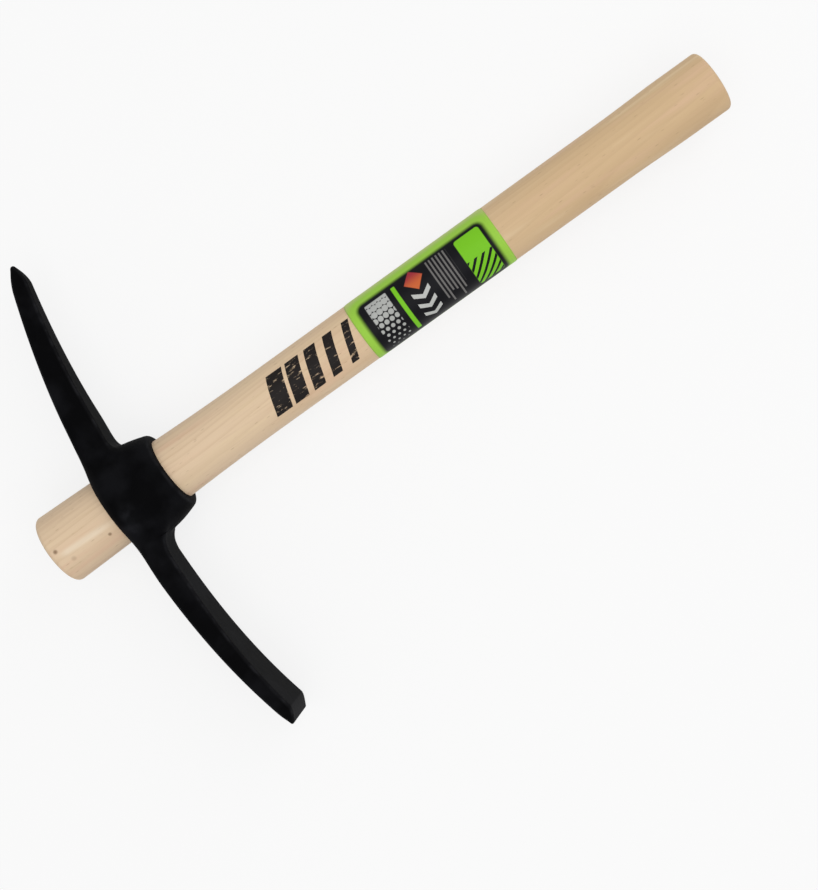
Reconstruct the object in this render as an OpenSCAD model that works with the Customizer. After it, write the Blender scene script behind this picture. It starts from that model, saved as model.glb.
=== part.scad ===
// One-hand pick axe: a forged head with a point and a chisel blade, slipped
// over the butt of a turned wooden handle until its tapered eye jams on the
// flared end, and a printed paper label wrapped round the grip.
// X runs along the handle from the face of its eye end, the origin, to the
// butt. Y runs towards the point, and Z up from the surface it lies on.

/* [Handle] */
// Length from the eye end to the butt
handle_len = 400; // [340:1:520]
// Diameter of the straight grip
grip_d = 31; // [26:0.5:36]
// Diameter of the swell at the butt
butt_d = 32; // [27:0.5:37]
// Length of the straight part of the swell
butt_len = 24; // [10:1:40]
// Length of the ramp from the grip up to the swell
swell_len = 32; // [15:1:60]
// Diameter of the flared eye end
eye_end_d = 38; // [32:0.5:46]
// How far the eye end stands out past the head
stand_out = 36; // [15:1:60]
// Length of the neck that runs from the eye down to the grip
neck_len = 62; // [30:1:90]
// Rounding of the two cut ends
end_round = 2.5; // [0.5:0.5:6]

/* [Eye] */
// Depth of the eye along the handle
eye_len = 36.5; // [26:0.5:50]
// Room on each side that lets the eye pass over the grip and butt
pass_slack = 0.7; // [0.5:0.1:2]
// How much wider the bore is at the crown than at the rim, each side
eye_taper = 1.5; // [0.5:0.1:3]
// Clearance of the seated eye on each side
seat_clear = 0.05; // [0.02:0.01:0.2]
// Wall of the eye where the arms join it
eye_wall = 6.3; // [4:0.1:10]
// Wall of the collar at its rim
rim_wall = 4; // [2.5:0.1:7]
// Length of the cone that narrows to the rim
collar_len = 14; // [6:0.5:18]
// Rounding of the crown's edge
crown_round = 4; // [1:0.5:5]
// Rounding of the rim's edge
rim_round = 2; // [0.5:0.5:3]

/* [Point arm] */
// Reach of the point from the handle's axis
pick_reach = 130; // [90:1:180]
// Thickness along the handle, at the eye
pick_root_t = 18.2; // [12:0.2:22]
// Thickness where the sharpened point starts
pick_tip_t = 9.2; // [6:0.2:14]
// Width across the head, at the eye
pick_root_w = 20.6; // [14:0.2:26]
// Width where the sharpened point starts
pick_tip_w = 10.4; // [6:0.2:16]
// Set back of the outer face from the crown
pick_setback = 2.2; // [0:0.1:5]
// How far the arm bends towards the grip
pick_droop = 19.8; // [0:0.2:40]
// Length of the sharpened point
point_len = 13; // [6:0.5:30]
// Size of the blunt end of the point
point_d = 1.8; // [0.8:0.1:4]
// How far the point sits in from the outer face
point_back = 1.6; // [0:0.1:6]

/* [Chisel arm] */
// Reach of the cutting edge from the handle's axis
chisel_reach = 138; // [90:1:180]
// Thickness along the handle, at the eye
chisel_root_t = 14; // [9:0.2:20]
// Thickness where the edge bevel starts
chisel_tip_t = 7.6; // [4:0.2:12]
// Width across the head, at the eye
chisel_root_w = 21; // [14:0.2:30]
// Width of the cutting edge
chisel_tip_w = 40; // [24:0.5:60]
// Set back of the outer face from the crown
chisel_setback = 0; // [0:0.1:5]
// How far the arm bends towards the grip
chisel_droop = 13.1; // [0:0.2:30]
// Length of the edge bevel
bevel_len = 8; // [3:0.5:20]
// Thickness left at the cutting edge
edge_t = 1.4; // [0.6:0.1:3]
// How far the cutting edge sits in from the outer face
edge_back = 1.6; // [0:0.1:4]

/* [Arm roots] */
// Rounding of the long edges of both arms
arm_round = 1.6; // [0.4:0.1:4]
// How far each side of an arm flares out to meet the eye
root_flare = 6; // [0:0.2:9]
// Length of that flare along the arm
flare_len = 17; // [6:0.5:30]
// Fillet under the point arm, along the handle
pick_fillet = 2; // [0:0.2:8]
// Fillet under the chisel arm, along the handle
chisel_fillet = 8; // [0:0.2:12]

/* [Label] */
// Length of the label along the grip
label_len = 83; // [40:1:120]
// Start of the label, from the eye end
label_start = 190; // [150:1:200]
// How far round the grip it wraps, in degrees
label_wrap = 176; // [60:1:300]
// Turn of its middle from the top towards the chisel side, in degrees
label_turn = 8; // [-60:1:60]
// Thickness of the paper
label_t = 0.2; // [0.1:0.05:0.4]
// Thickness of the glue under it
glue_t = 0.04; // [0.02:0.01:0.1]

/* [Hidden] */
$fn = 96;

wood_colour = "#e2c59c";
paint_colour = "#191a1c";
paper_colour = "#4fae1f";

// Bend of each arm: 1 is straight, higher keeps the bend for the tip
pick_bend = 1.6;
chisel_bend = 2.4;
// Largest share of an arm's section that its rounded edges may take
round_share = 0.4;
// Share of the eye's radius at which the arms start, inside its wall
root_share = 0.74;
// Steps along an arm, round one corner of its section, and in a turned curve
arm_steps = 16;
corner_steps = 2;
curve_steps = 6;
// Crowds the rings of an arm towards its root
ring_crowding = 1.35;
// Overrun of a cut past the face it opens
cut_over = 1;

grip_r = grip_d / 2;
butt_r = butt_d / 2;
eye_end_r = eye_end_d / 2;

// The eye runs from its crown to its rim
crown_x = stand_out;
rim_x = stand_out + eye_len;
bore_rim_r = max(grip_r, butt_r) + pass_slack;
bore_crown_r = bore_rim_r + eye_taper;
eye_r = bore_crown_r + eye_wall;
rim_r = bore_rim_r + rim_wall;
taper_slope = eye_taper / eye_len;

// The handle's seat is the bore less its clearance
seat_rim_r = bore_rim_r - seat_clear;
seat_crown_r = bore_crown_r - seat_clear;
neck_end_x = rim_x + neck_len;
butt_start_x = handle_len - butt_len;
swell_start_x = butt_start_x - swell_len;

arm_root_y = root_share * eye_r;

function mix(a, b, t) = a + (b - a) * t;
function smooth(t) = t * t * (3 - 2 * t);

// Quarter circle from angle a0, as [radius, x] points about a centre
function quarter(centre, r, a0) = [
  for (k = [0:curve_steps])
    let (a = a0 + 90 * k / curve_steps)
      centre + r * [cos(a), sin(a)]
];

// Turned outline of the handle as [radius, x], from the eye end to the butt
function handle_outline() = concat(
  [[0, 0]],
  quarter([eye_end_r - end_round, end_round], end_round, -90),
  [[seat_crown_r, crown_x]],
  [
    for (k = [0:curve_steps])
      let (t = k / curve_steps)
        [mix(grip_r, seat_rim_r, (1 - t) * (1 - t)), mix(rim_x, neck_end_x, t)]
  ],
  [
    for (k = [0:curve_steps])
      let (t = k / curve_steps)
        [mix(grip_r, butt_r, smooth(t)), mix(swell_start_x, butt_start_x, t)]
  ],
  quarter([butt_r - end_round, handle_len - end_round], end_round, 0),
  [[0, handle_len]]
);

// Turned outline of the eye as [radius, x], from the crown to the rim
function eye_outline() = concat(
  [[0, crown_x]],
  quarter([eye_r - crown_round, crown_x + crown_round], crown_round, -90),
  [[eye_r, rim_x - collar_len]],
  quarter([rim_r - rim_round, rim_x - rim_round], rim_round, 0),
  [[0, rim_x]]
);

// Rounded rectangle across an arm at y: outer face xo, inner face xi, half width hw
function section(y, xo, xi, hw) =
  let (r = min(arm_round, min(xi - xo, 2 * hw) * round_share))
    [
      for (c = [0:3], k = [0:corner_steps])
        let (
          a = 90 * (c + k / corner_steps),
          cx = (c == 0 || c == 3) ? xi - r : xo + r,
          cz = (c < 2) ? hw - r : r - hw
        )
          [cx + r * cos(a), y, cz + r * sin(a)]
    ];

// How much of a root's flare is left at y: 1 at the root, 0 past its length
function root_left(y) = pow(max(1 - (y - arm_root_y) / flare_len, 0), 2);

// Sections of an arm from its root to where it is sharpened, and then its tip.
// t and w are [root, tip] thickness and width, and tip is [length, back, t, w].
function arm_sections(reach, t, w, setback, droop, bend, fillet, tip) =
  let (
    body_end_y = reach - tip[0],
    slope = droop * bend / (body_end_y - arm_root_y),
    tip_xo = crown_x + setback + droop + slope * tip[0] + tip[1]
  )
    concat(
      [
        for (k = [0:arm_steps])
          let (
            s = pow(k / arm_steps, ring_crowding),
            y = mix(arm_root_y, body_end_y, s),
            xo = crown_x + setback + droop * pow(s, bend),
            xi = xo + mix(t[0], t[1], s) + fillet * root_left(y),
            hw = mix(w[0], w[1], s) / 2 + root_flare * root_left(y)
          )
            section(y, xo, xi, hw)
      ],
      [section(reach, tip_xo, tip_xo + tip[2], tip[3] / 2)]
    );

// Solid skinned over rings of equal length that run towards +Y
module skin(rings) {
  n = len(rings[0]);
  last = len(rings) - 1;
  polyhedron(
    points = [for (r = rings, p = r) p],
    faces = concat(
      [[for (k = [n - 1:-1:0]) k]],
      [
        for (j = [0:last - 1], k = [0:n - 1])
          let (a = j * n + k, d = j * n + (k + 1) % n)
            each [[a, d, d + n], [a, d + n, a + n]]
      ],
      [[for (k = [0:n - 1]) last * n + k]]
    )
  );
}

// Turns an outline of [radius, x] points about the handle's axis
module turned(outline) {
  rotate([0, 90, 0])
    rotate_extrude()
      polygon(outline);
}

module point_arm() {
  skin(arm_sections(
    pick_reach, [pick_root_t, pick_tip_t], [pick_root_w, pick_tip_w],
    pick_setback, pick_droop, pick_bend, pick_fillet,
    [point_len, point_back, point_d, point_d]
  ));
}

module chisel_arm() {
  mirror([0, 1, 0])
    skin(arm_sections(
      chisel_reach, [chisel_root_t, chisel_tip_t], [chisel_root_w, chisel_tip_w],
      chisel_setback, chisel_droop, chisel_bend, chisel_fillet,
      [bevel_len, edge_back, edge_t, chisel_tip_w]
    ));
}

// Tapered hole through the eye, cut past both of its faces
module eye_bore() {
  over_r = taper_slope * cut_over;
  translate([crown_x - cut_over, 0, 0])
    rotate([0, 90, 0])
      cylinder(
        h = eye_len + 2 * cut_over,
        r1 = bore_crown_r + over_r,
        r2 = bore_rim_r - over_r
      );
}

module handle() {
  color(wood_colour)
    turned(handle_outline());
}

module head() {
  color(paint_colour)
    difference() {
      union() {
        turned(eye_outline());
        point_arm();
        chisel_arm();
      }
      eye_bore();
    }
}

module label() {
  color(paper_colour)
    rotate([label_turn, 0, 0])
      rotate([0, 90, 0])
        rotate([0, 0, 180 - label_wrap / 2])
          rotate_extrude(angle = label_wrap)
            translate([grip_r + glue_t, label_start])
              square([label_t, label_len]);
}

handle();
head();
label();
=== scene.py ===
import math

import bmesh
import bpy
import numpy as np
from mathutils import Matrix, Vector


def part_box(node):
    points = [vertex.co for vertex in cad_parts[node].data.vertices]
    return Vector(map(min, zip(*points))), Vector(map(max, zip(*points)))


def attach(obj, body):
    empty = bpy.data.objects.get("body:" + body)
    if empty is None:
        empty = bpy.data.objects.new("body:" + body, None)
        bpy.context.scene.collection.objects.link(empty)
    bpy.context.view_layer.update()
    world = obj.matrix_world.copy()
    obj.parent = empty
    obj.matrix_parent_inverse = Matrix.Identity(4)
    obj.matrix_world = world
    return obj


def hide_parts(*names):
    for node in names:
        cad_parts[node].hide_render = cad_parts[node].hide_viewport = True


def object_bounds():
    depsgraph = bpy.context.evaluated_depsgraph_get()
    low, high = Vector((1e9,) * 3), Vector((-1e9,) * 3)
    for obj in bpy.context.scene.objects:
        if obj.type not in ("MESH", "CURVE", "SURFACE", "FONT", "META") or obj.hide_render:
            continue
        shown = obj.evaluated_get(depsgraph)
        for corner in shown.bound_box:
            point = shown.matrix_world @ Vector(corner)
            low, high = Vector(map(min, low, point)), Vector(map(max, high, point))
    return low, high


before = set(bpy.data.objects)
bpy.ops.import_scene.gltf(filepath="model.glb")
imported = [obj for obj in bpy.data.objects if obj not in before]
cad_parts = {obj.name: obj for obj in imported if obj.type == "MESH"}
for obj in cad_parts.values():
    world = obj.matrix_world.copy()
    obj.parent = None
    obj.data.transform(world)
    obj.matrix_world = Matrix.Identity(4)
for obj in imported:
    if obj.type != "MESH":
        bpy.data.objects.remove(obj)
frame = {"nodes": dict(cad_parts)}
cadLow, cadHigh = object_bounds()
print("frame:", ", ".join(frame["nodes"]))

mm = 0.001  # lengths below are in millimetres, meshes in metres
boxes = {node: [np.array(corner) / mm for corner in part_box(node)] for node in frame["nodes"]}


# straight run from a to b as t goes from 0 to 1
def mix(a, b, t):
    return a + (b - a) * t


# eased run from 0 to 1: three t squared less two t cubed, with t held inside 0 and 1
def ease(t):
    t = np.clip(t, 0, 1)
    return t * t * (3 - 2 * t)


# quarter of an ellipse from its flat start to its upright end, as two arrays of shares:
# one less the cosine, and the sine
def quarterShares(count):
    angle = np.linspace(0, math.pi / 2, count)
    return 1 - np.cos(angle), np.sin(angle)


# turned shape: every outline point (x, r) goes round the X axis on a circle of radius r
def turnedRings(x, r, sides):
    angle = np.linspace(0, 2 * math.pi, sides, endpoint=False)
    along = np.repeat(x[:, None], sides, 1)
    return np.stack([along, np.outer(r, np.cos(angle)), np.outer(r, np.sin(angle))], -1)


# skin over closed rings: neighbours join as quads, and the middle point of each end ring closes it
def ringPiece(name, rings):
    count, around = rings.shape[:2]
    points = np.concatenate([rings.reshape(-1, 3), rings[[0, -1]].mean(1)])
    here = np.arange(around)
    after = np.roll(here, -1)
    start = np.arange(count - 1)[:, None] * around
    beyond = start + around
    quads = np.stack([start + here, start + after, beyond + after, beyond + here], -1).reshape(-1, 4)
    last = (count - 1) * around
    ends = np.concatenate([
        np.stack([after, here, np.full(around, count * around)], -1),
        np.stack([last + here, last + after, np.full(around, count * around + 1)], -1),
    ])
    halves = np.concatenate([quads[:, [0, 1, 2]], quads[:, [0, 2, 3]], ends])
    corner = points[halves]
    volume = np.einsum("ij,ij->i", corner[:, 0], np.cross(corner[:, 1], corner[:, 2])).sum()
    if volume < 0:  # turn the faces outwards
        quads, ends = quads[:, ::-1], ends[:, ::-1]
    return meshPiece(name, points, quads.tolist() + ends.tolist())


def meshPiece(name, points, faces):
    mesh = bpy.data.meshes.new(name)
    mesh.from_pydata((points * mm).tolist(), [], faces, shade_flat=False)
    piece = bpy.data.objects.new(name, mesh)
    bpy.context.scene.collection.objects.link(piece)
    return piece


# a socket that takes part in sums: every operator adds one Math node
class Wire:
    def __init__(self, tree, socket):
        self.tree = tree
        self.socket = socket

    def math(self, operation, *values):
        node = self.tree.nodes.new("ShaderNodeMath")
        node.operation = operation
        for slot, value in zip(node.inputs, values):
            plug(self.tree, slot, value)
        return Wire(self.tree, node.outputs[0])

    def __add__(self, other):
        return self.math("ADD", self, other)

    def __radd__(self, other):
        return self.math("ADD", other, self)

    def __sub__(self, other):
        return self.math("SUBTRACT", self, other)

    def __rsub__(self, other):
        return self.math("SUBTRACT", other, self)

    def __mul__(self, other):
        return self.math("MULTIPLY", self, other)

    def __rmul__(self, other):
        return self.math("MULTIPLY", other, self)

    def __truediv__(self, other):
        return self.math("DIVIDE", self, other)

    def __pow__(self, other):
        return self.math("POWER", self, other)

    def __abs__(self):
        return self.math("ABSOLUTE", self)

    def __lt__(self, other):
        return self.math("LESS_THAN", self, other)

    def __gt__(self, other):
        return self.math("GREATER_THAN", self, other)

    def least(self, other):
        return self.math("MINIMUM", self, other)

    def most(self, other):
        return self.math("MAXIMUM", self, other)

    def part(self):  # what is left above the whole number
        return self.math("FRACT", self)

    def whole(self):
        return self.math("FLOOR", self)


def plug(tree, slot, value):
    if isinstance(value, Wire):
        tree.links.new(value.socket, slot)
    elif slot.type == "RGBA":
        slot.default_value = (*value, 1)
    else:
        slot.default_value = value


# a material with one principled shader; fixed values go straight on its sockets
class Finish:
    def __init__(self, name, **fixed):
        self.material = bpy.data.materials.new(name)
        self.material.use_nodes = True
        self.tree = self.material.node_tree
        self.shader = self.tree.nodes["Principled BSDF"]
        for socket, value in fixed.items():
            plug(self.tree, self.shader.inputs[socket.replace("_", " ")], value)

    def node(self, kind, settings, sockets, output=0):
        node = self.tree.nodes.new(kind)
        for name, value in settings.items():
            setattr(node, name, value)
        for slot, value in sockets.items():
            plug(self.tree, node.inputs[slot], value)
        return Wire(self.tree, node.outputs[output])

    def feed(self, socket, wire):
        plug(self.tree, self.shader.inputs[socket], wire)

    def place(self):  # object coordinates in millimetres, as a vector and as three values
        where = self.node("ShaderNodeTexCoord", {}, {}, "Object")
        scaled = self.node("ShaderNodeVectorMath", {"operation": "SCALE"}, {0: where, "Scale": 1 / mm})
        return scaled, *self.split(scaled)

    def split(self, vector):
        parts = self.node("ShaderNodeSeparateXYZ", {}, {0: vector})
        return [Wire(self.tree, parts.socket.node.outputs[axis]) for axis in range(3)]

    def join(self, x, y, z):
        return self.node("ShaderNodeCombineXYZ", {}, {0: x, 1: y, 2: z})

    def noise(self, where, scale, detail=2, roughness=0.5):
        sockets = {"Vector": where, "Scale": scale, "Detail": detail, "Roughness": roughness}
        return self.node("ShaderNodeTexNoise", {"noise_dimensions": "3D"}, sockets)

    def step(self, value, low, high):  # eased 0 to 1 as the value goes from low to high
        sockets = {"Value": value, "From Min": low, "From Max": high, "To Min": 0, "To Max": 1}
        return self.node("ShaderNodeMapRange", {"interpolation_type": "SMOOTHSTEP", "clamp": True}, sockets)

    def tint(self, share, under, over):  # colour under, covered by colour over
        return self.node("ShaderNodeMix", {"data_type": "RGBA"}, {0: share, 6: under, 7: over}, 2)

    def bump(self, height, strength, depth):
        sockets = {"Strength": strength, "Distance": depth * mm, "Height": height}
        self.feed("Normal", self.node("ShaderNodeBump", {}, sockets))


# handle: the turned outline runs eye end, flare, seat of the head, neck, grip, swell and butt
handle = {
    "endRound": 2.5,
    "seatClear": 0.05,
    "boreSlack": 0.7,
    "boreTaper": 1.5,
    "gripRadius": 15.5,
    "buttRadius": 16,
    "neckLength": 62,
    "swellLength": 32,
    "buttLength": 24,
    "faceCore": 2,
    "roundSteps": 9,
    "runSteps": 25,
    "faceSteps": 6,
    "sides": 144,
}
handle["length"] = boxes["handle"][1][0]
handle["eyeRadius"] = boxes["handle"][1][2]
crownX, rimX = boxes["head"][0][0], boxes["head"][1][0]
boreRimRadius = handle["buttRadius"] + handle["boreSlack"]
boreCrownRadius = boreRimRadius + handle["boreTaper"]


# outline of the handle: faces and edges are quarter rounds, the seat is a straight cone, the neck
# falls to the grip with the square of what is left of its length, and the swell is an eased step
def handleOutline(h):
    early, late = quarterShares(h["roundSteps"])
    seatCrown, seatRim = boreCrownRadius - h["seatClear"], boreRimRadius - h["seatClear"]
    neckEnd = rimX + h["neckLength"]
    buttStart = h["length"] - h["buttLength"]
    swellStart = buttStart - h["swellLength"]
    run = np.linspace(0, 1, h["runSteps"])[1:]
    face = np.linspace(h["faceCore"], h["eyeRadius"] - h["endRound"], h["faceSteps"])[:-1]
    back = np.linspace(h["buttRadius"] - h["endRound"], h["faceCore"], h["faceSteps"])[1:]
    x = [
        0 * face,
        h["endRound"] * early,
        mix(h["endRound"], crownX, run),
        mix(crownX, rimX, run),
        mix(rimX, neckEnd, run),
        mix(neckEnd, swellStart, run),
        mix(swellStart, buttStart, run),
        mix(buttStart, h["length"] - h["endRound"], run),
        h["length"] - h["endRound"] * early[::-1][1:],
        0 * back + h["length"],
    ]
    r = [
        face,
        h["eyeRadius"] - h["endRound"] * (1 - late),
        mix(h["eyeRadius"], seatCrown, run),
        mix(seatCrown, seatRim, run),
        mix(h["gripRadius"], seatRim, (1 - run) ** 2),
        0 * run + h["gripRadius"],
        mix(h["gripRadius"], h["buttRadius"], ease(run)),
        0 * run + h["buttRadius"],
        h["buttRadius"] - h["endRound"] * (1 - late[::-1][1:]),
        back,
    ]
    return np.concatenate(x), np.concatenate(r)


handlePiece = ringPiece("turned_handle", turnedRings(*handleOutline(handle), handle["sides"]))
print("handle:", len(handlePiece.data.polygons), "faces")


# head: a turned eye with a collar, and two arms that grow out of it
eye = {
    "wall": 6.3,
    "rimWall": 4,
    "crownRound": 6,
    "crownDome": 160,
    "rimRound": 2,
    "collarLength": 14,
    "collarBend": 1.3,
    "sides": 160,
}
eye["radius"] = boreCrownRadius + eye["wall"]
eye["rimRadius"] = boreRimRadius + eye["rimWall"]

pointArm = {
    "reach": boxes["head"][1][1],
    "thick": (18.2, 9.2),
    "wide": (20.6, 10.4),
    "setback": 2.2,
    "droop": 19.8,
    "bend": 1.6,
    "underFillet": 2,
    "tipLength": 13,
    "tipBack": 1.6,
    "tipThick": 1.8,
    "tipWide": 1.8,
    "tipBow": 1.7,
    "tipRound": 0.8,
}
chiselArm = {
    "reach": -boxes["head"][0][1],
    "thick": (14, 7.6),
    "wide": (21, 40),
    "setback": 0,
    "droop": 13.1,
    "bend": 2.4,
    "underFillet": 8,
    "tipLength": 8,
    "tipBack": 0.8,
    "tipThick": 1.4,
    "tipWide": 40,
    "tipBow": 1.4,
    "tipRound": 0.6,
}
forging = {
    "rootShare": 0.74,
    "flareLength": 17,
    "edgeRound": 1.6,
    "edgeShare": 0.4,
    "sideBlend": 11,
    "underBlend": 4.5,
    "blendSwitch": 8,
    "crownFrom": 12,
    "crownRun": 34,
    "sideCrown": 0.3,
    "around": 128,
    "acrossSteps": 61,
    "bodySteps": 97,
    "bodyCrowding": 1.5,
    "tipSteps": 15,
    "tipRoundSteps": 7,
    "halvings": 40,
    "squareness": 0.55,
    "boreOver": 1,
    "weld": 0.05,
    "creaseAngle": 24,
    "sheenReach": 1.8,
    "sheenFrom": 22,
    "sheenRun": 10,
}
armRoot = forging["rootShare"] * eye["radius"]


# overlap of two bounds: the greater one, with the edge they share rounded to radius r
def roundMax(a, b, r):
    return np.minimum(np.maximum(a, b), -r) + np.hypot(np.maximum(a + r, 0), np.maximum(b + r, 0))


# soft join of two bounds: the lesser one, lowered where they come within reach of each other by a quarter
# of that reach times the square of how near they are
def softMin(a, b, reach):
    near = np.maximum(1 - np.abs(a - b) / reach, 0)
    return np.minimum(a, b) - near ** 2 * reach / 4


# sizes of an arm at distance y from the handle's axis: its outer face bends towards the grip with a power
# of the way along, thickness and width run straight from root to tip, the root is thickened by the square
# of what is left of the flare, and the sharpened end falls to its own small section
def armSizes(arm, y):
    bodyEnd = arm["reach"] - arm["tipLength"]
    along = np.clip((y - armRoot) / (bodyEnd - armRoot), 0, 1)
    rootLeft = np.clip(1 - (y - armRoot) / forging["flareLength"], 0, 1) ** 2
    tip = np.clip((y - bodyEnd) / arm["tipLength"], 0, 1)
    slope = arm["droop"] * arm["bend"] / (bodyEnd - armRoot)
    outer = crownX + arm["setback"] * ease((y - forging["crownFrom"]) / forging["crownRun"])
    outer = outer + arm["droop"] * along ** arm["bend"]
    outer = outer + slope * arm["tipLength"] * tip + arm["tipBack"] * tip ** 2
    thick = mix(*arm["thick"], along) + arm["underFillet"] * rootLeft
    thick = mix(thick, arm["tipThick"], tip ** arm["tipBow"])
    half = mix(mix(*arm["wide"], along), arm["tipWide"], tip ** arm["tipBow"]) / 2
    over = np.clip((y - arm["reach"]) / arm["tipRound"] + 1, 0, 0.999)
    inset = arm["tipRound"] * (1 - np.sqrt(1 - over ** 2))
    return outer + inset, outer + thick - inset, half - inset


# the point arm's sizes where y is above nought, and the chisel arm's elsewhere
def armAt(y):
    return [np.where(y > 0, a, b) for a, b in zip(armSizes(pointArm, abs(y)), armSizes(chiselArm, abs(y)))]


# bound of the whole forging, below nought inside it. The eye is the distance from the axis less the
# radius at x, and ends at the rim; an arm is bounded by its two sides and its inner face. They join
# softly, and one outer face runs over the crown, where the square of z domes it, and over both arms
def headBound(x, y, z, sizes):
    outer, inner, half = sizes
    edge = np.minimum(forging["edgeRound"], forging["edgeShare"] * np.minimum(inner - outer, 2 * half))
    collar = np.clip((x - rimX) / eye["collarLength"] + 1, 0, 1) ** eye["collarBend"]
    barrel = np.hypot(y, z) - mix(eye["radius"], eye["rimRadius"], collar)
    ring = roundMax(barrel, x - rimX, eye["rimRound"])
    level = np.clip((2 * x - outer - inner) / (inner - outer), -1, 1)
    side = np.abs(z) - half - forging["sideCrown"] * (1 - level ** 2) * np.minimum(half / armRoot, 1)
    under = x - inner
    blend = ease(0.5 + (side - under) / (2 * forging["blendSwitch"]))
    blend = mix(forging["underBlend"], forging["sideBlend"], blend)
    lateral = softMin(ring, roundMax(side, under, edge), blend)
    away = ease((abs(y) - forging["crownFrom"]) / forging["crownRun"])
    dome = z ** 2 / (2 * eye["crownDome"]) * (1 - away)
    return roundMax(lateral, outer + dome - x, mix(eye["crownRound"], edge, away))


# furthest share that is still inside, found by halving the gap between one inside and one outside
def lastInside(bound, far):
    inside, outside = 0 * far, far
    for _ in range(forging["halvings"]):
        middle = (inside + outside) / 2
        within = bound(middle) < 0
        inside = np.where(within, middle, inside)
        outside = np.where(within, outside, middle)
    return inside


# distances from the axis at which an arm is cut into rings, closer together near the eye and the tip
def armStations(arm):
    bodyEnd = arm["reach"] - arm["tipLength"]
    return np.concatenate([
        mix(armRoot, bodyEnd, np.linspace(0, 1, forging["bodySteps"]) ** forging["bodyCrowding"]),
        np.linspace(bodyEnd, arm["reach"] - arm["tipRound"], forging["tipSteps"])[1:],
        arm["reach"] - arm["tipRound"] * (1 - quarterShares(forging["tipRoundSteps"])[1][1:]),
    ])


# rings over the forging from one tip to the other: in each cut across y, rays from the middle of the cut
# run out to where the bound is nought, through the points of a squared circle
def forgedRings(f):
    across = np.linspace(-armRoot, armRoot, f["acrossSteps"])[1:-1]
    y = np.concatenate([-armStations(chiselArm)[::-1], across, armStations(pointArm)])[:, None]
    sizes = armAt(y)
    outer, inner, half = sizes
    core = (outer + inner) / 2
    room = 2 * eye["radius"] + 0 * y
    gripFace = core + lastInside(lambda t: headBound(core + t, y, 0, sizes), room)
    middle, halfX = (gripFace + outer) / 2, (gripFace - outer) / 2
    halfZ = lastInside(lambda t: headBound(middle, y, t, sizes), room)
    turn = np.linspace(0, 2 * math.pi, f["around"], endpoint=False)
    c, s = [np.sign(wave) * abs(wave) ** f["squareness"] for wave in (np.cos(turn), np.sin(turn))]
    rayX, rayZ = halfX * c, halfZ * s
    share = lastInside(lambda t: headBound(middle + t * rayX, y, t * rayZ, sizes), 2 + 0 * rayX)
    return np.stack([middle + share * rayX, y + 0 * rayX, share * rayZ], -1)


# painted highlight along the long edges of the arms and the collar's rim, standing in for light on their
# rounds: one where two faces meet, and eased to nought within its reach, as the second greatest of the
# faces' bounds falls
def edgeSheen(x, y, z):
    outer, inner, half = armAt(y)
    faces = np.sort(np.stack([np.abs(z) - half, x - inner, outer - x]), axis=0)
    onArm = ease((abs(y) - forging["sheenFrom"]) / forging["sheenRun"])
    rim = np.minimum(np.hypot(y, z) - eye["rimRadius"], x - rimX)
    armSheen = ease(1 + faces[1] / forging["sheenReach"])
    rimSheen = ease(1 + rim / forging["sheenReach"])
    return armSheen * onArm + rimSheen * (1 - onArm)


# the forging, with the tapered bore cut through it and the painted highlight of its edges kept on its
# points
def forgeHead():
    head = ringPiece("forged_head", forgedRings(forging))
    over = forging["boreOver"]
    taper = handle["boreTaper"] / (rimX - crownX) * over
    boreX = np.array([crownX - over, rimX + over])
    boreR = np.array([boreCrownRadius + taper, boreRimRadius - taper])
    bore = ringPiece("bore_tool", turnedRings(boreX, boreR, eye["sides"]))
    cut = head.modifiers.new("bore", "BOOLEAN")
    cut.operation = "DIFFERENCE"
    cut.object = bore
    cut.solver = "EXACT"
    whole = bpy.data.meshes.new_from_object(head.evaluated_get(bpy.context.evaluated_depsgraph_get()))
    head.modifiers.clear()
    head.data = whole
    bpy.data.objects.remove(bore)
    tidy = bmesh.new()
    tidy.from_mesh(whole)
    bmesh.ops.remove_doubles(tidy, verts=tidy.verts, dist=forging["weld"] * mm)
    bmesh.ops.dissolve_degenerate(tidy, edges=tidy.edges, dist=forging["weld"] * mm)
    tidy.to_mesh(whole)
    tidy.free()
    points = np.empty(3 * len(whole.vertices), np.float32)
    whole.vertices.foreach_get("co", points)
    wearAndSheen = edgeSheen(*points.reshape(-1, 3).T / mm)
    whole.attributes.new("wearAndSheen", "FLOAT", "POINT").data.foreach_set("value", wearAndSheen.astype(np.float32))
    whole.set_sharp_from_angle(angle=math.radians(forging["creaseAngle"]))
    even = head.modifiers.new("even", "WEIGHTED_NORMAL")
    even.mode = "FACE_AREA_WITH_ANGLE"
    even.keep_sharp = True
    return head


headPiece = forgeHead()
print("head:", len(headPiece.data.polygons), "faces")


# label: a thin sheet bent round the grip, with its middle turned a little to the chisel side
label = {
    "wrap": 176,
    "turn": 8,
    "thick": 0.2,
    "corner": 3,
    "columns": 84,
    "rows": 60,
}
label["start"], label["end"] = boxes["label"][0][0], boxes["label"][1][0]
label["radius"] = boxes["label"][1][2] - label["thick"] / 2
label["length"] = label["end"] - label["start"]
label["width"] = math.radians(label["wrap"]) * label["radius"]


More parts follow.
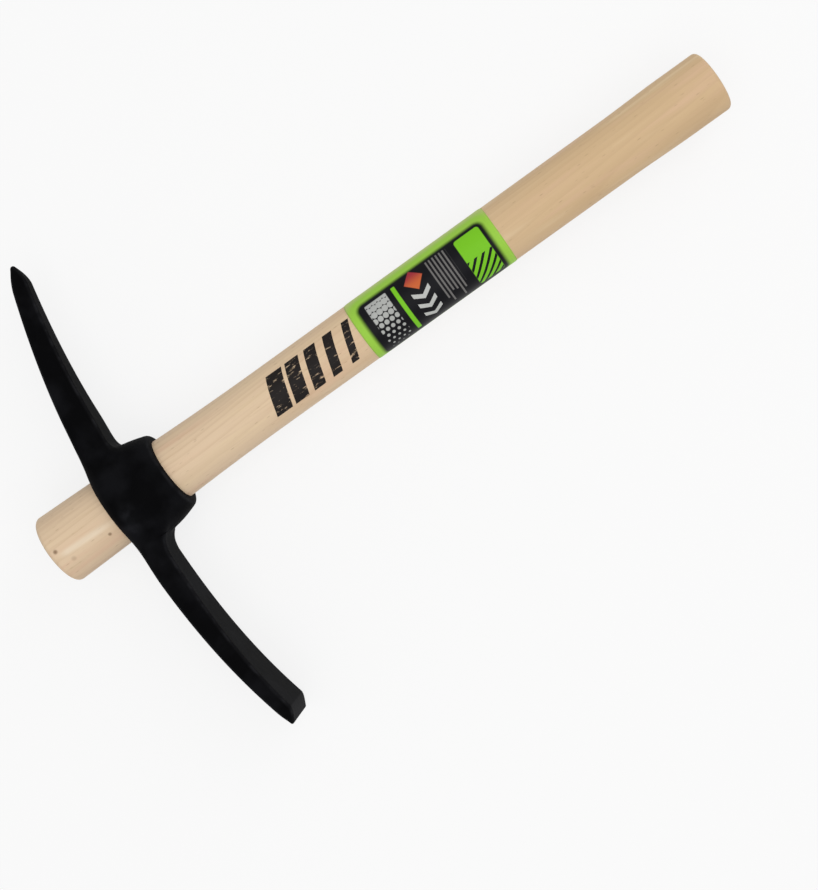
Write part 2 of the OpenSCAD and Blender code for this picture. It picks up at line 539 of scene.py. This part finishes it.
# the sheet: x runs along the grip, and the arc across it is shortened near both ends by the corner round
def labelSheet(s):
    u = np.linspace(0, s["length"], s["columns"])
    share = np.linspace(-1, 1, s["rows"])
    toEnd = np.clip(np.minimum(u, s["length"] - u), 0, s["corner"])
    trim = s["corner"] - np.sqrt(s["corner"] ** 2 - (s["corner"] - toEnd) ** 2)
    arc = np.outer(s["width"] / 2 - trim, share)
    angle = arc / s["radius"] + math.radians(s["turn"])
    radius = s["radius"] + s["thick"] / 2
    x = np.repeat(s["start"] + u[:, None], s["rows"], 1)
    points = np.stack([x, -radius * np.sin(angle), radius * np.cos(angle)], -1).reshape(-1, 3)
    corner = (np.arange(s["columns"] - 1)[:, None] * s["rows"] + np.arange(s["rows"] - 1)).reshape(-1, 1)
    faces = corner + np.array([0, 1, s["rows"] + 1, s["rows"]])
    sheet = meshPiece("printed_label", points, faces.tolist())
    shareU = np.repeat(u[:, None], s["rows"], 1) / s["length"]
    spots = np.stack([shareU, arc / s["width"] + 0.5], -1).reshape(-1, 2)
    sheet.data.uv_layers.new(name="print")
    sheet.data.uv_layers["print"].uv.foreach_set("vector", spots[faces.reshape(-1)].reshape(-1))
    paper = sheet.modifiers.new("paper", "SOLIDIFY")
    paper.thickness = s["thick"] * mm
    paper.offset = -1
    return sheet


labelPiece = labelSheet(label)
print("label:", len(labelPiece.data.polygons), "faces")


# beech: pale and pinkish by the head, more tan at the butt, with growth rings that are cut as the handle
# is turned from a plank, fine fibres, short dark flecks, two pin knots and a row of printed bars
beech = {
    "gloss": 0.13,
    "cream": (0.73, 0.555, 0.38),
    "tan": (0.635, 0.45, 0.26),
    "pink": (0.70, 0.47, 0.32),
    "straw": (0.76, 0.60, 0.38),
    "lateWood": (0.53, 0.355, 0.205),
    "endGrain": (0.56, 0.40, 0.25),
    "fleck": (0.30, 0.18, 0.10),
    "knot": (0.16, 0.085, 0.04),
    "shine": (0.86, 0.74, 0.58),
    "warmFrom": 90,
    "warmTo": 330,
    "pith": (58, -44),
    "lean": (0.03, -0.022),
    "ringPitch": 2.8,
    "ringWander": 1.1,
    "ringUneven": 2.2,
    "glintArc": 3.6,
    "glintLean": 0.03,
    "glintStart": (3, 10),
    "glintEnd": (26, 40),
    "endFade": (0.1, 0.9),
    "knots": ((4.3, -1.4, 18.9, 1.1, 0.75), (31.2, -9.7, 15.5, 0.9, 0.7), (9.5, -9.2, 16.5, 1.3, 0.22)),
}
stamp = {
    "ink": (0.006, 0.0045, 0.005),
    "start": 136,
    "pitch": 11.4,
    "bars": 5,
    "widest": 9.4,
    "thinning": 1.3,
    "height": 21,
    "middle": 1.5,
    "slant": 0.32,
    "worn": (0.29, 0.43),
    "cover": 0.995,
}


def beechFinish(b, s):
    wood = Finish("beech", Specular_IOR_Level=b["gloss"])
    where, x, y, z = wood.place()
    wander = wood.noise(wood.join(x * 0.007, y * 0.028, z * 0.028), 1, 2) - 0.5
    across = y - b["pith"][0] - x * b["lean"][0]
    upward = z - b["pith"][1] - x * b["lean"][1]
    depth = (across * across + upward * upward) ** 0.5 / b["ringPitch"]
    uneven = wood.noise(wood.join(depth * 0.45, 0, 0), 1, 2)
    years = depth + wander * (2 * b["ringWander"]) + uneven * b["ringUneven"]
    ring = years.part()
    harsh = wood.node("ShaderNodeTexWhiteNoise", {"noise_dimensions": "1D"}, {"W": years.whole()})
    late = wood.step(ring, 0.25, 0.88) * (1 - wood.step(ring, 0.9, 1)) * (0.25 + harsh * 0.75)
    fibre = wood.noise(wood.join(x * 0.03, y * 1.1, z * 1.1), 1, 4, 0.6)
    patch = wood.noise(wood.join(x * 0.011, y * 0.13, z * 0.13), 1, 2)
    pores = wood.join(x * 0.17, y * 0.9, z * 0.9)
    cell = wood.node("ShaderNodeTexVoronoi", {}, {"Vector": pores, "Scale": 1})
    chance = wood.split(Wire(wood.tree, cell.socket.node.outputs["Color"]))[0]
    fleck = (1 - wood.step(cell, 0.08, 0.26)) * wood.step(chance, 0.6, 0.95)
    colour = wood.tint(wood.step(x + (patch - 0.5) * 90, b["warmFrom"], b["warmTo"]), b["cream"], b["tan"])
    colour = wood.tint(wood.step(patch, 0.5, 0.72) * 0.55, colour, b["pink"])
    colour = wood.tint(wood.step(patch, 0.48, 0.3) * 0.5, colour, b["straw"])
    colour = wood.tint(late * (0.2 + fibre * 0.25), colour, b["lateWood"])
    colour = wood.tint(wood.step(fibre, 0.52, 0.75) * 0.22, colour, b["lateWood"])
    colour = wood.tint(fleck * 0.42, colour, b["fleck"])

    # painted highlight: a bright streak of the lacquer's sheen along the eye end, on the side of the chisel
    arc = wood.node("ShaderNodeMath", {"operation": "ARCTAN2"}, {0: y * -1, 1: z}) * handle["gripRadius"]
    streak = abs(arc - b["glintArc"] - x * b["glintLean"])
    glint = (1 - wood.step(streak, 0.3, 2.1)) * wood.step(x, *b["glintStart"])
    glint = glint * (1 - wood.step(x, *b["glintEnd"]))
    colour = wood.tint(glint * 0.55, colour, b["shine"])
    for *spot, size, dark in b["knots"]:
        gap = wood.node("ShaderNodeVectorMath", {"operation": "DISTANCE"}, {0: where, 1: spot}, 1)
        colour = wood.tint((1 - wood.step(gap, 0.35 * size, 1.5 * size)) * dark, colour, b["knot"])
    near, far = b["endFade"]
    ends = (1 - wood.step(x, near, far)).most(wood.step(x, handle["length"] - far, handle["length"] - near))
    colour = wood.tint(ends * (0.25 + late * 0.5), colour, b["endGrain"])

    # printed bars: slanted, each thinner than the last, and worn through to the grain
    along = (x - s["start"] + (arc - s["middle"]) * s["slant"]) / s["pitch"]
    number = along.whole()
    thick = (s["widest"] - number * s["thinning"]) / s["pitch"]
    bar = (along.part() < thick) * (number > -0.5) * (number < s["bars"] - 0.5)
    bar = bar * (abs(arc - s["middle"]) < s["height"] / 2)
    wearAndSheen = wood.noise(wood.join(x * 0.16, y * 0.7, z * 0.7), 1, 4, 0.65)
    ink = bar * wood.step(wearAndSheen, *s["worn"])
    colour = wood.tint(ink * s["cover"], colour, s["ink"])
    wood.feed("Base Color", colour)
    wood.feed("Roughness", 0.40 + fibre * 0.16 + late * 0.06)
    wood.bump(fibre * 0.5 - fleck * 0.6 - late * 0.25, 0.35, 0.06)
    return wood


# paint: satin black that follows the forged skin, a little dusty in patches, with painted highlights on the
# cheek of the eye, a painted reflection on the ground bevel, and painted highlights along the edges
blackPaint = {
    "gloss": 0.028,
    "black": (0.0011, 0.0011, 0.0014),
    "dusty": (0.0054, 0.0055, 0.0066),
    "highlightGrey": (0.013, 0.0135, 0.016),
    "bevelSheen": (0.012, 0.012, 0.0135),
    "edge": (0.019, 0.0195, 0.022),
    "cheekHighlights": ((46, -7, 23.3, 6.5), (43, -14.5, 19.5, 7)),
    "groundSides": (19, 19.6),
}


def paintFinish(p):
    paint = Finish("black_paint", Specular_IOR_Level=p["gloss"])
    where, _, y, z = paint.place()
    cloud = paint.noise(where, 0.045, 3)
    skin = paint.noise(where, 0.9, 3, 0.6)
    dents = paint.noise(where, 0.16, 2)
    # painted reflection: the ground bevel at the chisel's tip is tinted a lighter grey, and its roughness
    # is a little lower
    bevelStart = chiselArm["tipLength"] - chiselArm["reach"]
    bevelSheen = paint.step(y, bevelStart + 0.4, bevelStart - 0.8) * (1 - paint.step(abs(z), *p["groundSides"]))
    colour = paint.tint(paint.step(cloud, 0.42, 0.68), p["black"], p["dusty"])
    # painted highlights on the cheek of the eye: soft lighter spots at listed places, broken up by the
    # dents noise
    for *spot, size in p["cheekHighlights"]:
        gap = paint.node("ShaderNodeVectorMath", {"operation": "DISTANCE"}, {0: where, 1: spot}, 1)
        cheekSheen = (1 - paint.step(gap, 0, size)) * paint.step(dents, 0.3, 0.7)
        colour = paint.tint(cheekSheen * 0.8, colour, p["highlightGrey"])
    colour = paint.tint(bevelSheen * 0.35, colour, p["bevelSheen"])
    # painted highlight along the edges, from the edge mask kept on the forging, mottled by the dents noise
    wearAndSheen = paint.node("ShaderNodeAttribute", {"attribute_name": "wearAndSheen"}, {}, "Fac")
    colour = paint.tint(wearAndSheen * (0.3 + paint.step(dents, 0.42, 0.62) * 0.6), colour, p["edge"])
    paint.feed("Base Color", colour)
    paint.feed("Roughness", 0.56 + cloud * 0.14 + skin * 0.12 - bevelSheen * 0.05)
    paint.bump(skin * 0.35 + dents, 0.4, 0.35)
    return paint


# label print: a lime sheet with a soft-edged black panel that holds plain dots, a bar, a lozenge, chevrons,
# rules and a striped lime block
labelPrint = {
    "gloss": 0.1,
    "lime": (0.32, 0.60, 0.065),
    "reflectedLime": (0.44, 0.56, 0.16),
    "block": (0.19, 0.55, 0.02),
    "black": (0.003, 0.003, 0.0048),
    "pale": (0.50, 0.51, 0.49),
    "grey": (0.16, 0.155, 0.15),
    "orange": (0.58, 0.13, 0.04),
    "red": (0.33, 0.03, 0.045),
    "panel": (41.5, 28.6, 36.8, 17.4, 4),
    "dots": (15, 27.6, 6.2, 14, 0.6),
    "dotPitch": 3.1,
    "dotLargest": 1.75,
    "dotShrink": 1.2,
    "dotRun": (14, 42),
    "rails": (25.4, 27.6, 1.1, 14, 0.5),
    "gem": (36, 17, 5.4),
    "chevrons": (36, 25.4, 5, 5.8, 3),
    "rules": (51, 27, 6, 14, 0.4),
    "ruleStart": 45,
    "rulePitch": 2,
    "ruleEnd": 41,
    "ruleRagged": 9,
    "stripes": (69, 27.6, 7.2, 14.4, 1.6),
    "stripePitch": 4.6,
    "stripeFrom": 26,
}


def labelFinish(p):
    paper = Finish("label_paper", Specular_IOR_Level=p["gloss"])
    spot = paper.split(paper.node("ShaderNodeUVMap", {"uv_map": "print"}, {}))
    u, v = spot[0] * label["length"], spot[1] * label["width"]

    # distance outside a rounded box, from its middle, half sizes and corner round
    def outside(middleU, middleV, halfU, halfV, corner):
        du = abs(u - middleU) - (halfU - corner)
        dv = abs(v - middleV) - (halfV - corner)
        out = (du.most(0) ** 2 + dv.most(0) ** 2) ** 0.5
        return out + du.most(dv).least(0) - corner

    def inside(box, soft=0.25):
        return 1 - paper.step(outside(*box), -soft, soft)

    fade = paper.noise(paper.join(u * 0.05, v * 0.05, 0), 1, 2)
    edge = outside(*p["panel"])
    # painted reflection: the lime border turns paler away from the black panel, mostly along one long edge
    # of the label
    colour = paper.tint(paper.step(edge, 3, 9), p["lime"], p["reflectedLime"])
    colour = paper.tint(paper.step(edge, 1.9, -0.9), colour, p["black"])

    # staggered dots that shrink along the label's width
    row = (v / p["dotPitch"]).whole()
    dotU = ((u / p["dotPitch"] + row * 0.5).part() - 0.5) * p["dotPitch"]
    dotV = ((v / p["dotPitch"]).part() - 0.5) * p["dotPitch"]
    dotSize = p["dotLargest"] - paper.step(v, *p["dotRun"]) * p["dotShrink"]
    dot = 1 - paper.step((dotU * dotU + dotV * dotV) ** 0.5 - dotSize, -0.15, 0.15)
    colour = paper.tint(dot * inside(p["dots"]) * (0.65 + fade * 0.4), colour, p["pale"])
    colour = paper.tint(inside(p["rails"]), colour, p["block"])
    gemU, gemV, gemHalf = p["gem"]
    gem = 1 - paper.step(abs(u - gemU) + abs(v - gemV), gemHalf - 0.3, gemHalf + 0.3)
    colour = paper.tint(gem, colour, paper.tint(paper.step(v, gemV - 4, gemV + 3), p["red"], p["orange"]))
    arrowU, arrowV, arrowHalf, arrowPitch, arrows = p["chevrons"]
    beside = abs(u - arrowU)
    stride = (v + beside * 0.6 - arrowV) / arrowPitch
    chevron = (stride.part() < 0.42) * (stride > 0) * (stride < arrows) * (beside < arrowHalf)
    colour = paper.tint(chevron, colour, p["pale"])
    line = (u - p["ruleStart"]) / p["rulePitch"]
    ragged = paper.node("ShaderNodeTexWhiteNoise", {"noise_dimensions": "1D"}, {"W": line.whole()})
    rule = (line.part() < 0.45) * (v < p["ruleEnd"] - ragged * p["ruleRagged"]) * inside(p["rules"])
    colour = paper.tint(rule, colour, p["grey"])
    colour = paper.tint(inside(p["stripes"]), colour, p["block"])
    stripe = ((u + v) / p["stripePitch"]).part() < 0.42
    stripe = stripe * (v > p["stripeFrom"]) * inside(p["stripes"])
    colour = paper.tint(stripe, colour, p["black"])
    paper.feed("Base Color", colour)
    grain = paper.noise(paper.join(u, v, 0), 1.6, 2)
    paper.feed("Roughness", 0.36 + grain * 0.12)
    paper.bump(grain, 0.12, 0.03)
    return paper


for piece, finish, body, node, slot in (
    (handlePiece, beechFinish(beech, stamp), "handle", "handle", "beech"),
    (headPiece, paintFinish(blackPaint), "head", "head", "black_paint"),
    (labelPiece, labelFinish(labelPrint), "handle", "label", "label_paper"),
):
    piece.data.materials.clear()
    piece.data.materials.append(finish.material)
    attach(piece, body)
    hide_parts(node)


# studio: a pale floor just under the part, one wide soft light above and a fill from the grip side
studio = {
    "floorDrop": 0.3,
    "floorSize": 12000,
    "floorWhite": 0.8,
    "floorGlow": 0.8,
    "fadeFrom": 500,
    "fadeTo": 2200,
    "sky": 0.55,
    "target": (170, -5, 0),
    "key": {"place": (150, -350, 1300), "size": 1500, "power": 9},
    "fill": {"place": (1200, 300, 700), "size": 900, "power": 3},
}


def addLight(name, spec, target):
    lamp = bpy.data.lights.new(name, "AREA")
    lamp.size = spec["size"] * mm
    lamp.energy = spec["power"]
    light = bpy.data.objects.new(name, lamp)
    light.location = Vector(spec["place"]) * mm
    light.rotation_euler = (Vector(target) * mm - light.location).to_track_quat("-Z", "Y").to_euler()
    light.visible_camera = False
    bpy.context.scene.collection.objects.link(light)


floorZ = cadLow.z / mm - studio["floorDrop"]
floorHalf = studio["floorSize"] / 2
floorCorners = np.array([[-1, -1, 0], [1, -1, 0], [1, 1, 0], [-1, 1, 0]]) * floorHalf + [0, 0, floorZ]
floor = meshPiece("floor", floorCorners, [[0, 1, 2, 3]])


# white as the camera and reflections see it, and a plain pale surface for the light
def seenWhite(tree, surface, glow, share):
    light = tree.nodes.new("ShaderNodeLightPath")
    seen = Wire(tree, light.outputs["Is Camera Ray"]).most(Wire(tree, light.outputs["Is Glossy Ray"]))
    seen = seen.most(Wire(tree, light.outputs["Is Transmission Ray"])) * share
    blend = tree.nodes.new("ShaderNodeMixShader")
    plug(tree, blend.inputs[0], seen)
    tree.links.new(surface.outputs[0], blend.inputs[1])
    tree.links.new(glow.outputs[0], blend.inputs[2])
    return blend


# floor: it keeps the part's shadow near it, and fades to plain white further away
whiteFloor = (studio["floorWhite"],) * 3
paleFloor = Finish("pale_floor", Base_Color=whiteFloor, Roughness=1, Specular_IOR_Level=0)
floorX, floorY = paleFloor.place()[1:3]
away = paleFloor.step((floorX * floorX + floorY * floorY) ** 0.5, studio["fadeFrom"], studio["fadeTo"])
glow = paleFloor.tree.nodes.new("ShaderNodeEmission")
blended = seenWhite(paleFloor.tree, paleFloor.shader, glow, mix(studio["floorGlow"], 1, away))
paleFloor.tree.links.new(blended.outputs[0], paleFloor.tree.nodes["Material Output"].inputs["Surface"])
floor.data.materials.append(paleFloor.material)

world = bpy.data.worlds.new("studio")
world.use_nodes = True
bpy.context.scene.world = world
skyTree = world.node_tree
sky = skyTree.nodes["Background"]
sky.inputs["Color"].default_value = (1, 1, 1, 1)
sky.inputs["Strength"].default_value = studio["sky"]
backdrop = skyTree.nodes.new("ShaderNodeBackground")
backdrop.inputs["Color"].default_value = (1, 1, 1, 1)
blendedSky = seenWhite(skyTree, sky, backdrop, 1)
skyTree.links.new(blendedSky.outputs[0], skyTree.nodes["World Output"].inputs["Surface"])

addLight("key", studio["key"], studio["target"])
addLight("fill", studio["fill"], studio["target"])


# camera: it stands about where the photograph's did, above the grip and nearly square to the tool's plane
photoView = {
    "imageSize": (818, 890),
    "stand": (250, -70, 800),
    "aim": (176.7, -59.1, 0),
    "handleAngle": 35.4,
    "mmPerPixel": 0.4959,
}


# the camera looks from its stand at its aim, turned so that the handle climbs to the right by its angle
def addCamera(v):
    angle = math.radians(v["handleAngle"])
    stand, aim = Vector(v["stand"]), Vector(v["aim"])
    distance = (stand - aim).length
    back = (stand - aim).normalized()
    right = Vector((math.sin(angle), math.cos(angle), 0)).cross(back).normalized()
    axes = Matrix((right, back.cross(right), back)).transposed()
    camera = bpy.data.cameras.new("camera")
    camera.lens = camera.sensor_width * distance / (max(v["imageSize"]) * v["mmPerPixel"])
    camera.clip_end = 100
    holder = bpy.data.objects.new("camera", camera)
    holder.matrix_world = Matrix.Translation(stand * mm) @ axes.to_4x4()
    bpy.context.scene.collection.objects.link(holder)
    bpy.context.scene.camera = holder


addCamera(photoView)
bpy.context.scene.view_settings.view_transform = "Standard"
